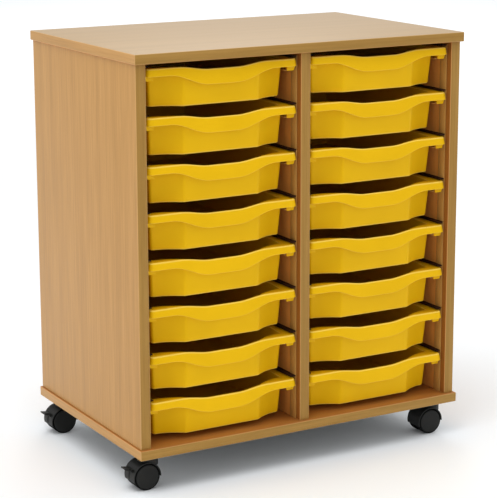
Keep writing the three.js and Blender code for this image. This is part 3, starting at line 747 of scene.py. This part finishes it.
ledge_top = -SKIRT_HEIGHT - LEDGE_CLEARANCE
ledge_foot = ledge_top - LEG_THICKNESS
lip_top = LIP_CLEARANCE + LEG_THICKNESS
ledge_outline = round_loop(
    [
        [0, ledge_foot], [LEDGE_REACH, ledge_foot], [LEDGE_REACH, ledge_top], [RUNNER_PLATE, ledge_top],
        [RUNNER_PLATE, LIP_CLEARANCE + 0.3 * MM], [0, LIP_CLEARANCE + 0.3 * MM],
    ],
    0.6 * MM,
)
lip_outline = round_loop(
    [[0, LIP_CLEARANCE], [LIP_REACH, LIP_CLEARANCE], [LIP_REACH, lip_top], [0, lip_top]], 0.6 * MM
)


def carry_along_y(outline, y_low, y_high, wear=0.0, finish=0):
    """A flat outline in X and Z carried along Y between two lids."""
    places = np.array([y_low, y_high])
    grid = np.empty((len(places), len(outline), 3))
    grid[..., 0] = outline[None, :, 0]
    grid[..., 1] = places[:, None]
    grid[..., 2] = outline[None, :, 1]
    return skin(grid, wear, capped=True, finish=finish)


def runner_set(name, node, facing):
    """Channels below each other, with a rail and a strap that join them. Facing is +1 or -1 along X."""
    low, high = (np.array(corner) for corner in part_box(node))
    wall_x = low[0] if facing > 0 else high[0]
    rows = high[2] - lip_top - TRAY_PITCH * np.arange(RUNNERS_IN_PAIR)
    skins = []
    for row in rows:
        # Finish 0, the lip, is the near-black painted shade; finish 1, the ledge, is brown.
        for finish, outline in enumerate((lip_outline, ledge_outline)):
            start = low[1] + finish * LEDGE_SETBACK
            skins.append(carry_along_y(outline * [facing, 1] + [wall_x, row], start, high[1], finish=finish))
    plate = sorted([wall_x, wall_x + facing * (RUNNER_PLATE + RAIL_PROUD)])
    strap_y = low[1] + (high[1] - low[1]) * STRAP_PLACE
    pair_foot = rows[-1] + ledge_foot + 0.1 * MM
    joints = [
        ([plate[0], low[1] - RAIL_PROUD, low[2]], [plate[1], low[1] + RAIL_WIDTH, high[2] - 0.1 * MM]),
        ([plate[0], strap_y, pair_foot], [plate[1], strap_y + STRAP_WIDTH, high[2] - 0.1 * MM]),
    ]
    for start, end in joints:
        block = softened_block(start, end, 0.3 * MM, 2)
        skins.append(skin(block["grid"], block["wear"], capped=True, finish=1))
    piece = build(name, skins)
    dress(piece, "carcass", "runner", [node], painted_shade_lip_plastic, rail_plastic)


runner_nodes = [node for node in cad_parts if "_runner_" in node]
for node in runner_nodes:
    runner_set(node.replace("runner_pair", "runners"), node, 1 if "bay_left" in node else -1)
print(len(runner_nodes), "pairs of runners")

# %% [markdown]
# ## Castors
# Each castor is a hood over two wheels, on a swivel pin that sits ahead of the axle. Plain cylinders would lose the
# rounded treads, so the pieces that turn are rings: a profile turned about an axle. The hood is a section carried round
# part of a circle, with a slot pressed into it under the brake lever.

# %% Castor sizes and rings
WHEEL_RADIUS, DISC_RADIUS, WHEEL_WIDTH = 25 * MM, 22.3 * MM, 16 * MM
WEB_HALF, WHEEL_GAP, TRAIL = 3.5 * MM, 0.5 * MM, 10 * MM
HOOD_INNER, HOOD_OUTER, HOOD_HALF = 25.8 * MM, 27.6 * MM, 20 * MM
HOOD_START_DEG, HOOD_END_DEG = -3, 196
SLOT_START_DEG, SLOT_END_DEG, SLOT_EASE_DEG = 160, 187, 1.5
SLOT_HALF, SLOT_DEPTH, SLOT_EASE = 2.1 * MM, 1.5 * MM, 0.8 * MM
NECK_RADIUS, NECK_FOOT, NECK_TOP = 19 * MM, 43.6 * MM, 62.7 * MM
PIN_RADIUS, PIN_LENGTH, CLEARANCE = 5 * MM, 9 * MM, 0.3 * MM
AXLE_RADIUS, HUB_RADIUS, DISC_FLAT = 3 * MM, 9 * MM, 19 * MM
ROUND_STEPS = 64


def turn_about_y(profile, centre_x, centre_z, cuts, wear=None):
    """A profile of (radius, y) pairs turned about an axle along Y, with its corners rounded off."""
    angle = np.linspace(0, 2 * np.pi, ROUND_STEPS, endpoint=False)[None, :]
    radius, y = (np.array(profile)[:, k : k + 1] for k in (0, 1))
    keys = np.stack([centre_x + radius * np.cos(angle), y + 0 * angle, centre_z + radius * np.sin(angle)], axis=-1)
    return round_keys(keys, np.array(cuts), 5, wear)


def turn_about_z(profile, centre_x, centre_y, cuts, wear=None):
    """A profile of (radius, z) pairs turned about an upright axis, with its corners rounded off."""
    angle = np.linspace(0, 2 * np.pi, ROUND_STEPS, endpoint=False)[None, :]
    radius, z = (np.array(profile)[:, k : k + 1] for k in (0, 1))
    keys = np.stack([centre_x + radius * np.cos(angle), centre_y + radius * np.sin(angle), z + 0 * angle], axis=-1)
    return round_keys(keys, np.array(cuts), 5, wear)


def smooth_box(value, low, high, ease):
    """One between low and high and nought outside, with smooth sides of the given width."""
    up = np.clip((value - low) / ease + 0.5, 0, 1)
    down = np.clip((high - value) / ease + 0.5, 0, 1)
    blend = up * down
    return blend * blend * (3 - 2 * blend)


print("castor helpers are ready")

# %% Wheels, hoods, plates and levers
def wheel_skins(axle_x, axle_z, inner_y, direction):
    """A tyre and a slightly raised disc, both turned about the axle. Depth grows from the inner face outwards."""
    tyre = [(AXLE_RADIUS + CLEARANCE, 13 * MM), (AXLE_RADIUS + CLEARANCE, 0), (WHEEL_RADIUS, 0),
            (WHEEL_RADIUS, 15.2 * MM), (DISC_RADIUS + 0.5 * MM, 15.2 * MM), (DISC_RADIUS + 0.5 * MM, 13 * MM)]
    disc = [(0, 13.1 * MM), (DISC_RADIUS, 13.1 * MM), (DISC_RADIUS, 15.7 * MM),
            (DISC_FLAT, WHEEL_WIDTH), (0, WHEEL_WIDTH)]
    skins = []
    pole = [(0, 13 * MM)]
    # The disc's outer edge is lightened most: worn edge and painted highlight.
    for number, (profile, cuts, wear) in enumerate((
        (pole + tyre + pole, [0.2 * MM, 0.6 * MM, 1.6 * MM, 1.8 * MM, 0.4 * MM, 0.2 * MM], [0, 0, 0.4, 0.6, 0.2, 0]),
        (disc, [0.3 * MM, 0.9 * MM, 3.0 * MM], [0, 1.0, 0]),
    )):
        placed = [(radius, inner_y + direction * depth) for radius, depth in profile]
        rows, row_wear = turn_about_y(placed, axle_x, axle_z, cuts, wear)
        skins.append(skin(rows, row_wear, finish=number))
    return skins


def hood_shell(axle_x, axle_z, middle_y, slotted):
    """A thin section of (y, radius) carried round the axle, less a smooth box in angle and y for the slot."""
    ease = 0.7 * MM
    outer_y = np.linspace(-HOOD_HALF + ease, HOOD_HALF - ease, 60)
    inner_y = np.linspace(HOOD_HALF - ease, -HOOD_HALF + ease, 6)
    turn = np.radians(np.linspace(90, -90, 9)[1:-1])
    middle, half = (HOOD_OUTER + HOOD_INNER) / 2, (HOOD_OUTER - HOOD_INNER) / 2
    right = np.stack([HOOD_HALF - ease + ease * np.cos(turn), middle + half * np.sin(turn)], axis=-1)
    section = np.concatenate([
        np.stack([outer_y, np.full(60, HOOD_OUTER)], axis=-1),
        right,
        np.stack([inner_y, np.full(6, HOOD_INNER)], axis=-1),
        right[::-1] * [-1, 1],
    ])
    angle = np.radians(np.linspace(HOOD_START_DEG, HOOD_END_DEG, 120))[:, None]
    radius = np.broadcast_to(section[:, 1], (120, len(section)))
    if slotted:
        is_outer = (np.arange(len(section)) < 60)[None, :]
        along = smooth_box(np.degrees(angle), SLOT_START_DEG, SLOT_END_DEG, SLOT_EASE_DEG)
        across = smooth_box(section[:, 0], -SLOT_HALF, SLOT_HALF, SLOT_EASE)
        radius = radius - SLOT_DEPTH * along * across * is_outer
    grid = np.stack([
        axle_x + radius * np.cos(angle),
        middle_y + section[:, 0] + 0 * angle,
        axle_z + radius * np.sin(angle),
    ], axis=-1)
    edge = np.abs(np.abs(section[:, 0]) - HOOD_HALF) < ease
    return skin(grid, 0.8 * edge[None, :] + 0 * angle, capped=True)


def hood_web(axle_x, axle_z, middle_y):
    """The plate between the wheels: a section of (y, radius) carried round the axle, and a ring round the axle."""
    section = round_loop(
        [[-WEB_HALF, HUB_RADIUS - 1 * MM], [WEB_HALF, HUB_RADIUS - 1 * MM], [WEB_HALF, HOOD_INNER + 0.6 * MM],
         [-WEB_HALF, HOOD_INNER + 0.6 * MM]], 0.5 * MM)
    angle = np.radians(np.linspace(HOOD_START_DEG + 0.5, HOOD_END_DEG - 0.5, 60))[:, None]
    plate = np.stack([
        axle_x + section[:, 1] * np.cos(angle),
        middle_y + section[:, 0] + 0 * angle,
        axle_z + section[:, 1] * np.sin(angle),
    ], axis=-1)
    bore = AXLE_RADIUS + CLEARANCE
    ring = round_loop([[-WEB_HALF, bore], [WEB_HALF, bore], [WEB_HALF, HUB_RADIUS], [-WEB_HALF, HUB_RADIUS]], 0.5 * MM)
    angle = np.linspace(0, 2 * np.pi, ROUND_STEPS + 1)[:, None]
    hub = np.stack([
        axle_x + ring[:, 1] * np.cos(angle), middle_y + ring[:, 0] + 0 * angle, axle_z + ring[:, 1] * np.sin(angle)
    ], axis=-1)
    return [skin(plate, capped=True), skin(hub)]


def hood_neck(swivel_x, swivel_y, axle_x, axle_z):
    """The neck is turned about the swivel pin, with a blind bore in its top; its foot follows the hood's round top."""
    bore = PIN_RADIUS + CLEARANCE
    bore_foot = NECK_TOP - PIN_LENGTH - CLEARANCE
    profile = [(0, bore_foot), (bore, bore_foot), (bore, NECK_TOP), (NECK_RADIUS, NECK_TOP), (NECK_RADIUS, NECK_FOOT),
               (0.75 * NECK_RADIUS, NECK_FOOT), (0.5 * NECK_RADIUS, NECK_FOOT), (0, NECK_FOOT)]
    cuts = np.array([0.2, 0.5, 1.5, 0.3, 0.3, 0.3]) * MM
    rows, wear = turn_about_z(profile, swivel_x, swivel_y, cuts, [0, 0, 1, 0, 0, 0])
    across = np.clip(np.abs(rows[..., 0] - axle_x), 0, HOOD_OUTER)
    hood_top = axle_z + np.sqrt(HOOD_OUTER ** 2 - across ** 2) - 0.7 * MM
    low = rows[..., 2] < bore_foot - 1 * MM
    rows[..., 2] = np.where(low, np.maximum(rows[..., 2], hood_top), rows[..., 2])
    return skin(rows, wear)


def lever_outline(pivot):
    """The lever from the side: a barrel round the pivot, and a blade that rises outwards to a thicker tip."""
    corners = np.array([
        [2.5, 0.9], [0.9, 2.8], [-1.6, 3.3], [-9.6, 4.4], [-12.4, 5.4], [-12.8, 2.8], [-9.4, 0.9], [-5.2, -0.5],
        [-2.0, -1.9], [-0.6, -2.6], [1.6, -2.2],
    ]) * MM
    return round_loop(corners, 1.0 * MM) + pivot


def lug_outline(axle, pivot):
    """A lug from the side: four corners that span from inside the hood's shell to just past the lever's pivot."""
    outward = (pivot - axle) / np.linalg.norm(pivot - axle)
    beside = np.array([-outward[1], outward[0]])
    foot = axle + outward * (HOOD_OUTER - 0.9 * MM)
    corners = [foot - 3.2 * MM * beside, pivot + 2.4 * MM * (outward - beside), pivot + 2.4 * MM * (outward + beside),
               foot + 3.2 * MM * beside]
    return round_loop(corners, 2.2 * MM)


print("castor shapes are ready")

# %% Castors in their places
BRAKE_ANGLE_DEG, BRAKE_REACH = 152, 30.8 * MM
BRAKE_HALF, LUG_WIDTH = 7.5 * MM, 2.6 * MM
SCREW_PLACE, SCREW_RADIUS = 16.6 * MM, 3.2 * MM
steel, steel_shader, wire = start_material("plain_steel", Metallic=1.0)
brushing = wire.place().noise((900.0, 60.0, 900.0), detail=2.0)
finish_material(
    steel, steel_shader, brushing.ramp((0.3, (0.42, 0.43, 0.44)), (0.7, (0.56, 0.57, 0.58))),
    0.25 + brushing * 0.2, brushing, 0.02 * MM,
)

for name in ("front_left", "back_left", "front_right", "back_right"):
    swivel = f"castor_{name}_swivel"
    plate_low, plate_high = (np.array(corner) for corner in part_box(f"castor_{name}_plate"))
    swivel_x, swivel_y = (plate_low[:2] + plate_high[:2]) / 2
    axle_x, axle_z = swivel_x - TRAIL, WHEEL_RADIUS
    braked = name.endswith("left")
    for end, direction in (("front", -1), ("back", 1)):
        node = f"castor_{name}_{end}_wheel"
        inner_y = swivel_y + direction * (WEB_HALF + WHEEL_GAP)
        wheel = build(f"{name}_{end}_wheel", wheel_skins(axle_x, axle_z, inner_y, direction))
        dress(wheel, node, "castor", [node], tyre_rubber, disc_plastic)
    skins = [hood_shell(axle_x, axle_z, swivel_y, braked), *hood_web(axle_x, axle_z, swivel_y)]
    skins.append(hood_neck(swivel_x, swivel_y, axle_x, axle_z))
    angle = math.radians(BRAKE_ANGLE_DEG)
    axle = np.array([axle_x, axle_z])
    pivot = axle + BRAKE_REACH * np.array([math.cos(angle), math.sin(angle)])
    if braked:
        for start in (BRAKE_HALF + CLEARANCE, -BRAKE_HALF - CLEARANCE - LUG_WIDTH):
            skins.append(carry_along_y(lug_outline(axle, pivot), swivel_y + start, swivel_y + start + LUG_WIDTH, 0.2))
    hood = build(f"{name}_hood", skins)
    dress(hood, swivel, "castor", [f"castor_{name}_hood"], hood_plastic)
    if braked:
        node = f"castor_{name}_brake"
        blade = carry_along_y(lever_outline(pivot), swivel_y - BRAKE_HALF, swivel_y + BRAKE_HALF, 0.2)
        lever = build(f"{name}_lever", [blade])
        dress(lever, node, "castor", [node], hood_plastic)
    plate_skins = [softened_block([*plate_low[:2], plate_high[2] - 3 * MM], plate_high, 0.6 * MM)]
    pin = [(0, NECK_TOP - PIN_LENGTH), (PIN_RADIUS, NECK_TOP - PIN_LENGTH), (PIN_RADIUS, plate_high[2] - 2 * MM),
           (0, plate_high[2] - 2 * MM)]
    rows, wear = turn_about_z(pin, swivel_x, swivel_y, [0.5 * MM, 0.2 * MM])
    plate_skins.append(skin(rows, wear))
    for side_x in (-1, 1):
        for side_y in (-1, 1):
            head = [(0, plate_high[2] - 4.4 * MM), (SCREW_RADIUS, plate_high[2] - 4.2 * MM),
                    (SCREW_RADIUS, plate_high[2] - 2.5 * MM), (0, plate_high[2] - 2.5 * MM)]
            rows, wear = turn_about_z(
                head, swivel_x + side_x * SCREW_PLACE, swivel_y + side_y * SCREW_PLACE, [1.0 * MM, 0.1 * MM]
            )
            plate_skins.append(skin(rows, wear, finish=1))
    plate = build(f"{name}_plate", plate_skins)
    dress(plate, "carcass", "castor", [f"castor_{name}_plate"], hood_plastic, steel)
    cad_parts[f"castor_{name}_axle"].data.materials.clear()
    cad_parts[f"castor_{name}_axle"].data.materials.append(steel)
print("four castors")

# %% [markdown]
